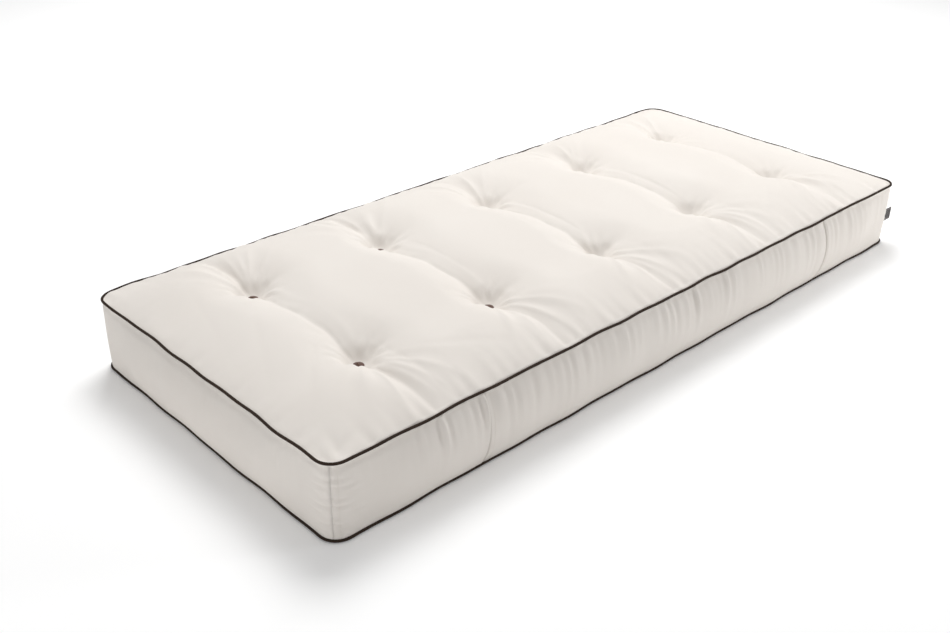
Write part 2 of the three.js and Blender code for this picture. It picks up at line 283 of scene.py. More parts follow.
# %% Lines of the net
def lines_between(stops, step):
    found = [stops[0]]
    for start, end in zip(stops, stops[1:]):
        found += list(np.linspace(start, end, max(round((end - start) / step(start, end)), 1) + 1)[1:])
    return np.array(found)


straight = HALF_L - CORNER
beside_rows = [row + side for row in ROWS for side in (-0.06, 0, 0.06)]
stops = sorted({-straight, straight, -STRIP_SEAM, STRIP_SEAM, *beside_rows})
body_lines = lines_between(stops, lambda a, b: 0.0086 if b - a < 0.0601 else 0.0147)
corner_lines = straight + CORNER * np.sin(np.linspace(0, math.pi / 2, 6)[1:])
across_lines = lines_between([-HALF_W, -COLUMN, COLUMN, HALF_W], lambda a, b: 0.0138)
lines_x = np.concatenate([-corner_lines[::-1], body_lines, corner_lines])


def half_width_at(x):
    past = np.maximum(np.abs(x) - straight, 0)
    return HALF_W - CORNER + np.sqrt(np.maximum(CORNER**2 - past**2, 0))


plan_x, plan_y = np.meshgrid(lines_x, across_lines, indexing="ij")
plan_y = plan_y / HALF_W * half_width_at(plan_x)
print("net:", len(lines_x), "lines along,", len(across_lines), "across")

# %% [markdown]
# ## The pads
# Ten twines pull the top panel down, and the wadding rises between them. A row of tufts gathers the cloth
# into one deep fold across the mattress: broad slopes fall to each tuft, and the fold between two tufts
# is shallow. The simulation alone gives smooth dimples, so the folds are in the shape it starts from.


# %% Height of the pads
def soft_noise(seed, *axes, lengths, amplitude):
    """A smooth random field: a sum of waves of the given lengths, with seeded directions and starts."""
    rng = np.random.default_rng(seed)
    field = np.zeros_like(axes[0])
    for length in lengths:
        angle, start = rng.uniform(0, 2 * math.pi, 2)
        heading = (math.cos(angle), math.sin(angle)) if len(axes) == 2 else (1.0,)
        field += np.sin(2 * math.pi * sum(h * a for h, a in zip(heading, axes)) / length + start)
    return amplitude * field / math.sqrt(len(lengths))


def shoulder(distance, run):
    return 1 - (1 - np.clip(distance / run, 0, 1)) ** 2.2


CROWN = 0.0460  # of a pad over the upper piping
FAR_RUN, NEAR_RUN, SIDE_RUN = 0.34, 0.25, 0.16  # how far from an edge a pad reaches its height
WANDER = dict(lengths=(0.31, 0.19, 0.12), amplitude=0.0035)  # of a fold from its row of tufts


def pad_height(x, y):
    edge = shoulder(HALF_L - np.abs(x), np.where(x > 0, FAR_RUN, NEAR_RUN))
    edge = edge * shoulder(half_width_at(x) - np.abs(y), SIDE_RUN)
    rise = np.full_like(x, CROWN) + soft_noise(3, x, y, lengths=(0.33, 0.27, 0.41, 0.22), amplitude=0.0016)
    past_column = np.abs(y) - COLUMN
    for number, row in enumerate(ROWS):
        wander = soft_noise(20 + number, y, **WANDER)
        wander *= np.clip(np.abs(past_column) / 0.06, 0, 1)
        u = x - row - wander
        near_tuft = np.exp(-np.sqrt(past_column**2 + 0.010**2) / 0.095)
        reach = np.where(u > 0, 0.105 + 0.065 * near_tuft, 0.062 + 0.030 * near_tuft)
        depth = 0.0125 + 0.0285 * near_tuft
        steepness = np.where(u > 0, 1.6, 1.9)
        rise -= depth * (1 - np.clip(np.sqrt(u**2 + 0.0035**2) / reach, 0, 1)) ** steepness
        for side in (-1, 1):
            distance = np.hypot(x - row, y - side * COLUMN)
            rise -= 0.007 * np.exp(-np.maximum(distance - 0.014, 0) / 0.030)
    rise -= 0.005 * np.exp(-((past_column / 0.060) ** 2))
    return HEAD + edge * rise


pads = pad_height(plan_x, plan_y)
for tuft in tufts.values():
    distance = np.hypot(plan_x - tuft.x, plan_y - tuft.y)
    ease = np.clip((distance - 0.0165) / 0.034, 0, 1) ** 0.6
    pads = TUFT_Z + np.maximum(pads - TUFT_Z, 0.0015) * ease
print("pads from %.4f to %.4f m" % (pads.min(), pads.max()))

# %% [markdown]
# ## The side band's start
# The band is full along the sides and straight at the corners, where its upright seams hold it in. Its
# upper edge waves with the piping, because a hand-fed seam never runs dead straight.


# %% Rings of the side band
def rim_of(grid):
    """The points round a grid's edge, in order."""
    return np.concatenate([grid[:-1, 0], grid[-1, :-1], grid[::-1, -1][:-1], grid[0, ::-1][:-1]])


index = np.arange(plan_x.size).reshape(plan_x.shape)
ring = rim_of(index)
top_start = np.stack([plan_x, plan_y, pads], -1).reshape(-1, 3)
edge_xy = top_start[ring, :2]
middle = np.clip(edge_xy, [-straight, -(HALF_W - CORNER)], [straight, HALF_W - CORNER])
outward = edge_xy - middle
outward /= np.linalg.norm(outward, axis=1)[:, None]
steps_round = np.linalg.norm(np.roll(edge_xy, -1, 0) - edge_xy, axis=1)
ROUND = steps_round.sum()
way = np.concatenate([[0], np.cumsum(steps_round)[:-1]])


def round_wave(way, seed, counts, amplitude):
    """Waves that close on themselves: each count is how many fit round the mattress."""
    starts = np.random.default_rng(seed).uniform(0, 2 * math.pi, len(counts))
    waves = [np.sin(2 * math.pi * n * way / ROUND + start) for n, start in zip(counts, starts)]
    return amplitude * sum(waves) / math.sqrt(len(counts))


def fullness(xy):
    """The share of the bulge at a point of the outline: little at a corner, all of it along a side."""
    run = np.maximum(straight - np.abs(xy[:, 0]), 0) + np.maximum(HALF_W - CORNER - np.abs(xy[:, 1]), 0)
    share = np.clip(run / BULGE_RUN, 0, 1)
    return CORNER_SHARE + (1 - CORNER_SHARE) * share * share * (3 - 2 * share)


full = fullness(edge_xy)
in_out = round_wave(way, 1, (17, 29, 43), 0.0014)
up_down = round_wave(way, 2, (19, 31, 47), 0.0008)
low_in_out = round_wave(way, 4, (13, 23, 37), 0.0014)
top_start[ring, :2] += outward * in_out[:, None]
top_start[ring, 2] = HEAD + up_down
LEVELS = 18
rings = [ring]
net = [top_start]
for level in range(1, LEVELS + 1):
    down = level / LEVELS
    swell = 0.93 * BULGE * full * (1 - (2 * down - 1) ** 2)
    drift = (1 - down) * in_out + down * low_in_out
    height = (1 - down) * (HEAD + up_down) + down * FOOT
    net.append(np.column_stack([edge_xy + outward * (swell + drift)[:, None], height]))
    rings.append(len(top_start) + (level - 1) * len(ring) + np.arange(len(ring)))
start = np.vstack(net)
print("side band:", LEVELS, "rings of", len(ring), "points, bulge", round(BULGE, 4))

# %% [markdown]
# ## Filling the cover
# Cloth simulation lets the net settle as cloth does when wadding pushes it from inside. The piping and the
# tufts are pinned, the air pressure stands for the wadding, and gravity is off. How far a point may move
# is capped, and the cap is small at the corners, so the seams stay where the frame has them.


# %% Settle the cover
def quads_of(grid):
    return np.stack([grid[:-1, :-1], grid[1:, :-1], grid[1:, 1:], grid[:-1, 1:]], -1).reshape(-1, 4)


def settle(points):
    faces = quads_of(index).tolist()
    for upper, lower in zip(rings, rings[1:]):
        faces += np.stack([upper, lower, np.roll(lower, -1), np.roll(upper, -1)], -1).tolist()
    last, hub = rings[-1], len(points)
    points = np.vstack([points, [0, 0, FOOT]])
    faces += [[int(b), int(a), hub] for a, b in zip(last, np.roll(last, -1))]
    mesh = bpy.data.meshes.new("cover_net")
    mesh.from_pydata(points.tolist(), [], faces)
    net_object = add_object("cover_net", mesh)
    held = set(map(int, ring)) | set(map(int, last)) | {hub}
    for tuft in tufts.values():
        near = np.hypot(top_start[:, 0] - tuft.x, top_start[:, 1] - tuft.y) < FELT + 0.0017
        held |= set(map(int, np.nonzero(near)[0]))
    net_object.vertex_groups.new(name="held").add(sorted(held), 1.0, "REPLACE")
    cloth = net_object.modifiers.new("cloth", "CLOTH")
    how = cloth.settings
    how.quality, how.mass, how.air_damping = 5, 0.3, 1.0
    how.tension_stiffness = how.compression_stiffness = 25
    how.shear_stiffness, how.bending_stiffness = 8, 0.3
    how.use_pressure, how.uniform_pressure_force = True, 4.0
    how.vertex_group_mass = "held"
    how.effector_weights.gravity = 0
    cloth.collision_settings.use_collision = False
    for step in range(1, 21):
        bpy.context.scene.frame_set(step)
    settled = net_object.evaluated_get(bpy.context.evaluated_depsgraph_get()).to_mesh()
    found = np.empty(len(points) * 3)
    settled.vertices.foreach_get("co", found)
    bpy.data.objects.remove(net_object)
    bpy.context.scene.frame_set(1)
    return found.reshape(-1, 3)[:-1]


cover = start.copy()
move = settle(start) - start
reach = np.linalg.norm(move, axis=1)
cap = np.full(len(start), 0.0035)
cap[len(top_start):] = 0.0015 + 0.004 * np.tile(full, LEVELS)
cover += move * np.minimum(1, cap / np.maximum(reach, 1e-9))[:, None]
print("settled: a point moved %.4f m at most before the cap" % reach.max())


# %% [markdown]
# ## A finer net
# One more point goes between every two, on a smooth curve through four. This is what a subdivision does,
# but the net keeps its order.


# %% Halve the net's steps
def finer(points, axis, closed=False):
    points = np.moveaxis(points, axis, 0)
    if closed:
        before, after, beyond = np.roll(points, 1, 0), np.roll(points, -1, 0), np.roll(points, -2, 0)
        here = points
    else:
        padded = np.concatenate([2 * points[:1] - points[1:2], points, 2 * points[-1:] - points[-2:-1]])
        before, here, after, beyond = padded[:-3], padded[1:-2], padded[2:-1], padded[3:]
    halfway = (9 * (here + after) - before - beyond) / 16
    woven_in = np.empty((2 * len(here),) + points.shape[1:])
    woven_in[0::2], woven_in[1::2] = here, halfway
    if not closed:
        woven_in = np.concatenate([woven_in, points[-1:]])
    return np.moveaxis(woven_in, 0, axis)


top = finer(finer(cover[: len(top_start)].reshape(*plan_x.shape, 3), 0), 1)
band = finer(finer(np.stack([cover[r] for r in rings]), 0), 1, closed=True)
band_out = finer(outward, 0, closed=True)
band_out /= np.linalg.norm(band_out, axis=1)[:, None]
band_way = finer(np.concatenate([way, [ROUND]])[:, None], 0)[:-1, 0]
band_full = fullness(finer(edge_xy, 0, closed=True))
print("finer net: top", top.shape[:2], "band", band.shape[:2])

# %% [markdown]
# ## Wrinkles
# Cotton duck is stiff, so it wrinkles in ways that tell how it is sewn: fans from a tuft to the nearest
# edge, short tucks along the piping, upright gathers under it, and level puckers beside a corner seam.
# Each is a small move of the net, with its own seeded waves.


# %% Wrinkles of the top panel
def ridged(wave):
    """Narrow valleys between broad rounds, as a fold has."""
    return 1 - 2 * np.abs(wave) ** 0.7


tx, ty = top[..., 0], top[..., 1]
from_side = half_width_at(tx) - np.abs(ty)
from_end = HALF_L - np.abs(tx)
inside = np.clip(np.minimum(from_side, from_end) / 0.012, 0, 1)
folds = np.zeros_like(tx)
clear_of_felt = np.ones_like(tx)
for number, tuft in enumerate(tufts.values()):
    rng = np.random.default_rng(50 + number)
    dx, dy = tx - tuft.x, (ty - tuft.y) * math.copysign(1, tuft.y)
    distance, angle = np.hypot(dx, dy), np.arctan2(dx, dy)
    clear_of_felt *= np.clip((distance - 0.017) / 0.02, 0, 1)
    fan = np.exp(-((angle / 0.75) ** 4)) * np.exp(-(((distance - 0.12) / 0.085) ** 2))
    spokes = np.sin(angle * 9 + rng.uniform(0, 6)) * np.sin(angle * 3.7 + rng.uniform(0, 6))
    folds += 0.0034 * fan * ridged(spokes)
    close = np.exp(-(((distance - 0.045) / 0.024) ** 2))
    folds += 0.0021 * close * np.sin(angle * 11 + 1.3 * np.sin(angle * 3 + rng.uniform(0, 6)))
for number, row in enumerate(ROWS):
    past_column = np.abs(ty) - COLUMN
    line = row + soft_noise(20 + number, ty, **WANDER) * np.clip(np.abs(past_column) / 0.06, 0, 1)
    near_tuft = np.exp(-((past_column / 0.115) ** 2))
    folds -= (0.0024 + 0.0036 * near_tuft) * np.exp(-np.abs(tx - line) / 0.0065)
    beside = tx - line - 0.020 - 0.12 * np.abs(past_column)
    folds += 0.0028 * near_tuft * np.exp(-((beside / 0.011) ** 2))
edge_tucks = soft_noise(71, tx, lengths=(0.031, 0.043, 0.058, 0.079), amplitude=0.0024)
end_tucks = soft_noise(72, ty, lengths=(0.036, 0.051, 0.073), amplitude=0.0012)
folds += edge_tucks * np.exp(-from_side / 0.034) + end_tucks * np.exp(-from_end / 0.03)
# Long folds beside the rows: (row, from it, where across, half reach across, depth)
for row, beside, where, reach, depth in (
    (0, 0.055, -0.30, 0.10, 0.0026), (2, 0.040, 0.02, 0.13, 0.0030), (2, 0.072, -0.33, 0.09, 0.0024),
    (3, 0.035, -0.02, 0.15, 0.0034), (3, 0.062, -0.34, 0.09, 0.0026), (1, 0.048, 0.04, 0.12, 0.0022),
    (4, 0.050, -0.32, 0.08, 0.0022), (3, -0.060, 0.33, 0.09, 0.0022), (1, -0.055, 0.32, 0.09, 0.0022),
):
    u = tx - ROWS[row] - beside - 0.10 * (ty - where) * math.copysign(0.5, beside)
    folds -= depth * np.exp(-np.abs(u) / 0.0085) * np.exp(-(((ty - where) / reach) ** 2))
# Long slanting pulls on the pad at the near end: (x, y, heading, half length, depth)
for px, py, heading, half, depth in (
    (-0.86, -0.20, 0.9, 0.13, 0.0012), (-0.88, -0.05, 1.1, 0.15, 0.0011), (-0.90, 0.12, 1.3, 0.12, 0.0010),
    (-0.955, -0.400, 1.2, 0.035, 0.0030), (-0.930, -0.405, 0.3, 0.035, 0.0026),
    (-0.55, -0.33, -0.5, 0.10, 0.0012), (0.18, -0.34, 0.5, 0.09, 0.0010), (0.56, -0.30, 0.6, 0.10, 0.0010),
):
    c, s = math.cos(heading), math.sin(heading)
    u, v = (tx - px) * c + (ty - py) * s, (ty - py) * c - (tx - px) * s
    folds -= depth * np.exp(-((u / half) ** 2)) * np.exp(-((v / 0.009) ** 2))
top[..., 2] += folds * inside * clear_of_felt
print("top panel wrinkles up to %.4f m" % np.abs(folds).max())

# %% Wrinkles of the side band
down = np.linspace(0, 1, band.shape[0])[:, None]
bx, by = band[0, :, 0], band[0, :, 1]
on_front = (by < -(HALF_W - CORNER)).astype(float)
on_end = (np.abs(bx) > straight).astype(float)
strength = (0.45 + 0.55 * on_front * np.exp(-(((bx + 0.14) / 0.82) ** 6))) * (1 - 0.55 * on_end)
patches = 0.6 + 0.4 * round_wave(band_way, 6, (9, 14, 22), 1.0)
gathers = round_wave(band_way, 5, (107, 149, 193, 241), 1.0) * patches
under_piping = np.clip(down / 0.05, 0, 1) * np.exp(-((down / 0.42) ** 2))
over_foot = 0.35 * np.clip((1 - down) / 0.05, 0, 1) * np.exp(-(((1 - down) / 0.2) ** 2))
out = 0.0050 * strength * gathers * under_piping
out = out + 0.0012 * strength * round_wave(band_way, 7, (211, 263, 307), 1.0) * (under_piping + over_foot)
out = out + round_wave(band_way, 8, (15, 23, 34), 0.0024) * np.sin(math.pi * down) * np.clip(band_full, 0, 1)
out = out - 0.0022 * np.exp(-(((down - 0.06) / 0.035) ** 2))  # the tuck under the piping


def way_from(column):
    """Distance round the band from one of its columns."""
    apart = np.abs(band_way - band_way[column])
    return np.minimum(apart, ROUND - apart)


def column_at(x, y):
    return int(np.argmin(np.hypot(bx - x, by - y)))


corner_x, corner_y = straight + CORNER * math.sqrt(0.5), HALF_W - CORNER + CORNER * math.sqrt(0.5)
near_corner, label_corner = column_at(-corner_x, -corner_y), column_at(corner_x, -corner_y)
left_seam, right_seam = column_at(-STRIP_SEAM, -HALF_W), column_at(STRIP_SEAM, -HALF_W)
for number, (column, depth) in enumerate(((near_corner, 0.0014), (label_corner, 0.0005))):
    away = way_from(column)
    slant = 6.0 * away
    pucker = np.sin(2 * math.pi * (down * 8.5 + slant) + number)
    pucker = pucker + 0.8 * np.sin(2 * math.pi * (down * 12 - slant) + 2)
    out = out + depth * pucker * np.exp(-((away / 0.045) ** 2)) * np.sin(math.pi * down) ** 0.5
for column, beside, depth in ((left_seam, 0.06, 0.003), (right_seam, -0.05, 0.0015)):
    pleat = np.abs(band_way - band_way[column] - beside)
    out = out - depth * np.exp(-pleat / 0.006) * np.sin(math.pi * down) ** 0.7
end_fold = way_from(column_at(-HALF_L, -0.215))
out = out - 0.0016 * np.exp(-end_fold / 0.007) * np.sin(math.pi * down)
out = np.maximum(out, -0.0032)  # the wadding behind the cloth stops it there
inner_rows = np.clip(np.minimum(down, 1 - down) / 0.04, 0, 1)
band[..., 0] += out * inner_rows * band_out[:, 0]
band[..., 1] += out * inner_rows * band_out[:, 1]
print("side band moved from %.4f to %.4f m" % (out.min(), out.max()))

# %% [markdown]
# ## Cutting the pieces
# The net becomes sewn pieces. Each is a thin sheet with a UV map in metres. At the two upright seams of
# the long side both edges turn in a little, which makes the shadow line that a real seam has.


# %% From net to sheet
def mesh_of(name, points, faces, uv, material):
    mesh = bpy.data.meshes.new(name)
    mesh.from_pydata(points.reshape(-1, 3).tolist(), [], faces.tolist())
    corners = np.empty(len(mesh.loops), np.int64)
    mesh.loops.foreach_get("vertex_index", corners)
    layer = mesh.uv_layers.new(name="cloth")
    layer.data.foreach_set("uv", uv.reshape(-1, 2)[corners].astype(np.float32).ravel())
    mesh.polygons.foreach_set("use_smooth", np.ones(len(mesh.polygons), bool))
    mesh.materials.append(material)
    mesh.update()
    return add_object(name, mesh)


def made_plain(piece):
    """The piece with its modifiers applied."""
    solid = bpy.data.meshes.new_from_object(piece.evaluated_get(bpy.context.evaluated_depsgraph_get()))
    piece.modifiers.clear()
    piece.data = solid
    return piece


def thicken(piece, thickness=CLOTH):
    wall = piece.modifiers.new("thickness", "SOLIDIFY")
    wall.thickness, wall.offset = thickness, -1
    bpy.context.view_layer.update()
    return made_plain(piece)


def cloth_area(piece):
    return sum(f.area for f in piece.data.polygons) / 2


def sewn(piece, nodes, flat):
    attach(piece, "mattress")
    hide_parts(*nodes)
    print(piece.name, "cut %.3f x %.3f m, cloth %.3f m2" % (*flat, cloth_area(piece)))


def grid_index(shape):
    return np.arange(shape[0] * shape[1]).reshape(shape[:2])


# %% [markdown]
# ## The filling
# The filling is made before the cover. Wadding has no sharp edge, so each layer is the frame's solid
# with its faces remade and roughened inwards.


# %% Wadding from the frame's solids
def wadding(node, name, material, voxel, shrink):
    mesh = frame["nodes"][node].data.copy()
    piece = add_object(name, mesh)
    weld = piece.modifiers.new("weld", "WELD")
    weld.merge_threshold = 0.00001
    remade = piece.modifiers.new("remade", "REMESH")
    remade.mode, remade.voxel_size, remade.use_smooth_shade = "VOXEL", voxel, True
    bpy.context.view_layer.update()
    made_plain(piece)
    count = len(piece.data.vertices)
    co, normal = np.empty(count * 3), np.empty(count * 3)
    piece.data.vertices.foreach_get("co", co)
    piece.data.vertices.foreach_get("normal", normal)
    co, normal = co.reshape(-1, 3), normal.reshape(-1, 3)
    lumps = soft_noise(90, co[:, 0], co[:, 1] + co[:, 2], lengths=(0.05, 0.07, 0.11), amplitude=0.5)
    co = co - normal * (shrink * (1 + 0.5 * np.clip(lumps, -1, 1)))[:, None]
    piece.data.vertices.foreach_set("co", co.astype(np.float32).ravel())
    piece.data.materials.clear()
    piece.data.materials.append(material)
    piece.data.update()
    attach(piece, "mattress")
    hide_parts(node)
    print(name, len(piece.data.polygons), "faces")
    return piece


tray = wadding("cotton_base_and_sides", "cotton_tray", cotton, voxel=0.011,
               shrink=0.0045)
for layer in ("lower", "upper"):
    wadding(f"cotton_layer_{layer}", f"cotton_sheet_{layer}", cotton, voxel=0.007,
            shrink=0.0008)

# %% The wool under the top panel
wool_top = top.copy()
for axis, half in ((0, HALF_L), (1, HALF_W)):
    out_at = np.clip((np.abs(wool_top[..., axis]) - half + 0.06) / 0.06, 0, 1)
    wool_top[..., axis] -= np.sign(wool_top[..., axis]) * 0.009 * out_at
wool_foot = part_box("wool_top_layer")[0].z + 0.0005
wool_top[..., 2] = np.maximum(top[..., 2] - 0.0045, wool_foot + 0.002)
wool_top = wool_top[::2, ::2]
grid = grid_index(wool_top.shape)
under = wool_top.copy()
under[..., 2] = wool_foot
rim = rim_of(grid)
walls = np.stack([rim, rim + grid.size, np.roll(rim, -1) + grid.size, np.roll(rim, -1)], -1)
wool_faces = np.concatenate([quads_of(grid), quads_of(grid)[:, ::-1] + grid.size, walls])
wool_points = np.concatenate([wool_top.reshape(-1, 3), under.reshape(-1, 3)])
wool_piece = mesh_of("wool_layer", wool_points, wool_faces, wool_points[:, :2].copy(), wool)
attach(wool_piece, "mattress")
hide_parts("wool_top_layer")
print("wool layer", len(wool_piece.data.polygons), "faces")

# %% [markdown]
# ## Latex bars by Geometry Nodes
# A row is one rounded bar repeated, so Geometry Nodes makes it: a rounded outline is swept along a line,
# set on evenly spaced points, and realized, because instances aren't exported.


# %% Helpers for a node group
def start_tree(name, inputs):
    tree = bpy.data.node_groups.new(name, "GeometryNodeTree")
    tree.interface.new_socket("Geometry", in_out="INPUT", socket_type="NodeSocketGeometry")
    for label, kind in inputs.items():
        tree.interface.new_socket(label, in_out="INPUT", socket_type="NodeSocket" + kind)
    tree.interface.new_socket("Geometry", in_out="OUTPUT", socket_type="NodeSocketGeometry")
    return tree, tree.nodes.new("NodeGroupInput"), tree.nodes.new("NodeGroupOutput")


def add_step(tree, kind, settings=None, **sockets):
    step = tree.nodes.new(kind)
    for name, value in (settings or {}).items():
        setattr(step, name, value)
    for name, value in sockets.items():
        socket = step.inputs[name.replace("_", " ")]
        if isinstance(value, bpy.types.NodeSocket):
            tree.links.new(value, socket)
        else:
            socket.default_value = value
    return step


def add_math(tree, operation, first, second):
    step = tree.nodes.new("ShaderNodeMath")
    step.operation = operation
    for place, value in enumerate((first, second)):
        if isinstance(value, bpy.types.NodeSocket):
            tree.links.new(value, step.inputs[place])
        else:
            step.inputs[place].default_value = value
    return step.outputs[0]


def run_tree(piece, tree, **values):
    made = piece.modifiers.new(tree.name, "NODES")
    made.node_group = tree
    for item in tree.interface.items_tree:
        key = item.name.replace(" ", "_")
        if item.in_out == "INPUT" and key in values:
            made[item.identifier] = values[key]
    bpy.context.view_layer.update()
    return made_plain(piece)


# %% One tree for a row of bars
tree, given, result = start_tree("row_of_bars", {
    "Bars": "Int", "Pitch": "Float", "Length": "Float", "Width": "Float", "Height": "Float",
    "Rounding": "Float", "Foot": "Float", "Material": "Material"})
given_out = given.outputs
outline = add_step(tree, "GeometryNodeCurvePrimitiveQuadrilateral",
                   Width=given_out["Width"], Height=given_out["Height"])
rounded = add_step(tree, "GeometryNodeFilletCurve", {"mode": "POLY"}, Curve=outline.outputs[0],
                   Radius=given_out["Rounding"], Count=3)
half = add_math(tree, "MULTIPLY", given_out["Length"], 0.5)
near_end = add_step(tree, "ShaderNodeCombineXYZ", X=add_math(tree, "MULTIPLY", half, -1))
far_end = add_step(tree, "ShaderNodeCombineXYZ", X=half)
rail = add_step(tree, "GeometryNodeCurvePrimitiveLine", Start=near_end.outputs[0], End=far_end.outputs[0])
bar = add_step(tree, "GeometryNodeCurveToMesh", Curve=rail.outputs[0], Profile_Curve=rounded.outputs[0],
               Fill_Caps=True)
gaps = add_math(tree, "SUBTRACT", given_out["Bars"], 1)
spread = add_math(tree, "MULTIPLY", gaps, given_out["Pitch"])
first = add_math(tree, "MULTIPLY", spread, -0.5)
first_place = add_step(tree, "ShaderNodeCombineXYZ", Y=first, Z=given_out["Foot"])
each = add_step(tree, "ShaderNodeCombineXYZ", Y=given_out["Pitch"])
places = add_step(tree, "GeometryNodeMeshLine", Count=given_out["Bars"],
                  Start_Location=first_place.outputs[0], Offset=each.outputs[0])
copies = add_step(tree, "GeometryNodeInstanceOnPoints", Points=places.outputs[0], Instance=bar.outputs[0])
real = add_step(tree, "GeometryNodeRealizeInstances", Geometry=copies.outputs[0])
dressed = add_step(tree, "GeometryNodeSetMaterial", Geometry=real.outputs[0], Material=given_out["Material"])
tree.links.new(dressed.outputs[0], result.inputs[0])

for row in ("lower", "middle", "upper"):
    nodes = [f"latex_bar_{row}_{n:02d}" for n in range(1, BARS + 1)]
    boxes = [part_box(n) for n in nodes]
    size = boxes[0][1] - boxes[0][0]
    pitch = (boxes[-1][0].y - boxes[0][0].y) / (BARS - 1)
    piece = add_object(f"latex_bars_{row}", bpy.data.meshes.new(f"latex_bars_{row}"))
    run_tree(piece, tree, Bars=BARS, Pitch=pitch, Length=size.x - 0.001, Width=size.y - 0.001,
             Height=size.z - 0.001, Rounding=0.004, Foot=(boxes[0][0].z + boxes[0][1].z) / 2, Material=latex)
    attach(piece, "mattress")
    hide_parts(*nodes)
    extent = np.array([v.co for v in piece.data.vertices])
    print(piece.name, len(piece.data.polygons), "faces,", extent.min(0).round(3), extent.max(0).round(3))

# %% [markdown]
# ## The cover's sheets
# The top panel, four strips of the side band and the bottom panel, each cut from the net.

# %% Top panel
top_uv = np.stack([tx, ty], -1)
cover_top = thicken(mesh_of("cover_top", top, quads_of(grid_index(top.shape)), top_uv, cover_cloth))
sewn(cover_top, ["cover_top_panel"], (2 * HALF_W + 0.05, 2 * HALF_L + 0.06))

# %% Side band strips
drop = np.concatenate([[0], np.cumsum(np.linalg.norm(np.diff(band[:, 0], axis=0), axis=1))])


def strip_of(name, first, last, node):
    columns = np.arange(first, last + 1 if last > first else last + 1 + band.shape[1]) % band.shape[1]
    points = band[:, columns].copy()
    for column, beside in ((0, 1), (-1, -2)):
        if columns[column] not in (left_seam, right_seam):
            continue
        turned_in = 0.0022 * np.clip(np.minimum(down[:, 0], 1 - down[:, 0]) / 0.05, 0.15, 1)
        along = points[:, beside, :2] - points[:, column, :2]
        points[:, column, :2] += 0.04 * along - band_out[columns[column]] * turned_in[:, None]
    run = np.concatenate([[0], np.cumsum(np.linalg.norm(np.diff(band[0, columns, :2], axis=0), axis=1))])
    uv = np.stack(np.broadcast_arrays(run[None, :], drop[:, None]), -1)
    faces = quads_of(grid_index(points.shape))
    piece = thicken(mesh_of(name, points, faces, uv, cover_cloth))
    sewn(piece, [node], (HEAD - FOOT + 0.02, float(run[-1]) + 0.01))


strip_of("boxing_front_left", near_corner, left_seam, "boxing_front_strip")
strip_of("boxing_front_middle", left_seam, right_seam, "boxing_front_strip")
strip_of("boxing_front_right", right_seam, label_corner, "boxing_front_strip")
strip_of("boxing_ends_and_back", label_corner, near_corner, "boxing_back_strip")

# %% Bottom panel, with a hollow over each lower felt
floor_z = np.full_like(plan_x, 0.0002)
for tuft in tufts.values():
    climb = np.clip((0.050 - np.hypot(plan_x - tuft.x, plan_y - tuft.y)) / 0.032, 0, 1)
    floor_z = np.maximum(floor_z, 0.0098 * climb * climb * (3 - 2 * climb))
from_edge = np.minimum(half_width_at(plan_x) - np.abs(plan_y), HALF_L - np.abs(plan_x))
floor_z += 0.003 * np.clip(1 - from_edge / 0.012, 0, 1) ** 2
bottom = np.stack([plan_x, plan_y, floor_z], -1)
bottom_faces = quads_of(grid_index(bottom.shape))[:, ::-1]
bottom_uv = np.stack([plan_x, plan_y], -1)
cover_bottom = thicken(mesh_of("cover_bottom", bottom, bottom_faces, bottom_uv, cover_cloth))
bottom_cut = (2 * HALF_W + 0.03, 2 * HALF_L + 0.03)
sewn(cover_bottom, ["cover_bottom_panel"], bottom_cut)

# %% [markdown]
# ## Piping
# A cord wrapped in a strip of brown cloth, sewn into the seam. It is a tube along the net's own edge, so it
# waves with the cloth on both sides of it. The wrapping makes it a little uneven.


# %% Piping along an edge of the net
level_out = np.column_stack([band_out, np.zeros(len(band_out))])


def piping(name, path, node, seed):
    sides = 12
    angle = np.linspace(0, 2 * math.pi, sides, endpoint=False)
    radius = CORD * (1 + round_wave(band_way, seed, (83, 131, 190), 0.025))
    across = np.cos(angle)[None, :, None] * level_out[:, None]
    spokes = across + np.sin(angle)[None, :, None] * np.array([0, 0, 1.0])
    points = path[:, None] + radius[:, None, None] * spokes
    points[..., 2] = np.maximum(points[..., 2], 0.0001)
    n = len(path)
    i, j = np.meshgrid(np.arange(n), np.arange(sides), indexing="ij")
    a, b = i * sides + j, ((i + 1) % n) * sides + j
    c, d = ((i + 1) % n) * sides + (j + 1) % sides, i * sides + (j + 1) % sides
    uv = np.stack(np.broadcast_arrays(band_way[:, None], angle[None, :] * PIPE), -1)
    piece = mesh_of(name, points, np.stack([a, b, c, d], -1).reshape(-1, 4), uv, piping_cloth)
    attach(piece, "mattress")
    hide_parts(node)
    print(name, len(piece.data.polygons), "faces")


piping("piping_upper", band[0], "piping_top", 11)
piping("piping_lower", band[-1] + 0.0012 * level_out, "piping_bottom", 12)

# %% [markdown]
# ## Tufts
# A twine goes through the whole mattress and is tied over a felt washer on each side, which keeps it from
# cutting the cloth. The felts are hand-punched and pressed, so no two are the same.


# %% Felts and twine
def bands_between(rings, sides):
    """Faces between each ring of points and the next."""
    pairs = [(k * sides + j, k * sides + (j + 1) % sides) for k in range(rings - 1) for j in range(sides)]
    return [[a, b, b + sides, a + sides] for a, b in pairs]


